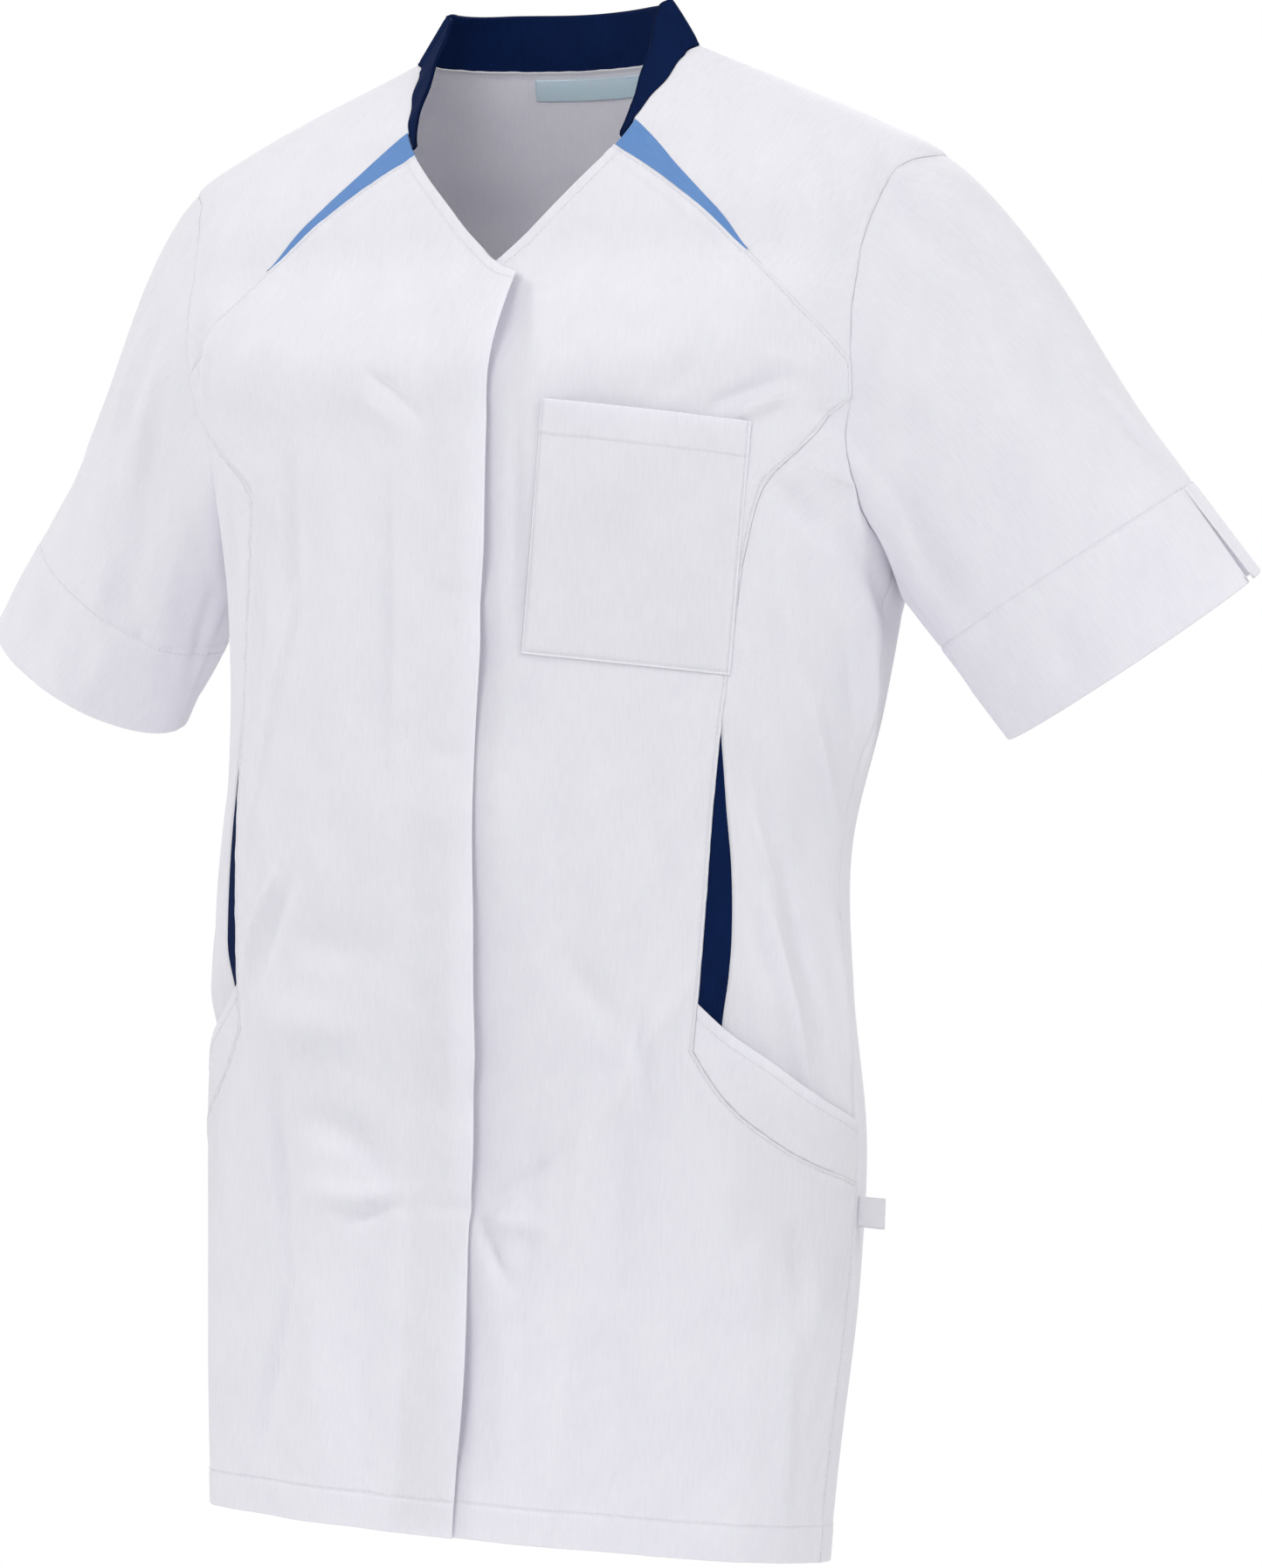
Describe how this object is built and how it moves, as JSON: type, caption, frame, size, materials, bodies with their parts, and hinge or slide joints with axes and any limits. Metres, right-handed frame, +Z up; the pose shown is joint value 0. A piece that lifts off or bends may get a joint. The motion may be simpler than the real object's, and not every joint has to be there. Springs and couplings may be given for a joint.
{
  "type": "nurse uniform tunic dress",
  "caption": "Hip-length nurse's uniform dress, worn shape: stand collar, V neck, hidden front buttons, short set-in sleeves, chest pocket, slanted hip pockets, contrast insets.",
  "frame": {"origin": "the middle of the neck, level with the shoulder line beside it, where the wearer's neck and shoulders carry the garment", "axes": "+Z up out of the neck, +X towards the wearer's left, -Y out of the front"},
  "size_m": [0.8035, 0.2797, 0.9009],
  "materials": {
    "white_poly_cotton": "matte woven twill",
    "navy_poly_cotton": "matte woven twill",
    "blue_poly_cotton": "matte woven twill",
    "woven_label": "satin woven tape",
    "woven_tag": "satin woven tape"
  },
  "bodies": {
    "root": {"back": "white_poly_cotton", "chest_pocket": "white_poly_cotton", "collar": "navy_poly_cotton", "front_left": "white_poly_cotton", "front_right": "white_poly_cotton", "inset_left": "navy_poly_cotton", "inset_right": "navy_poly_cotton", "neck_label": "woven_label", "pocket_welt_left": "white_poly_cotton", "pocket_welt_right": "white_poly_cotton", "side_front_left": "white_poly_cotton", "side_front_right": "white_poly_cotton", "side_tag": "woven_tag", "sleeve_left": "white_poly_cotton", "sleeve_right": "white_poly_cotton", "wedge_left": "blue_poly_cotton", "wedge_right": "blue_poly_cotton", "yoke_left": "white_poly_cotton", "yoke_right": "white_poly_cotton"}
  },
  "joints": []
}
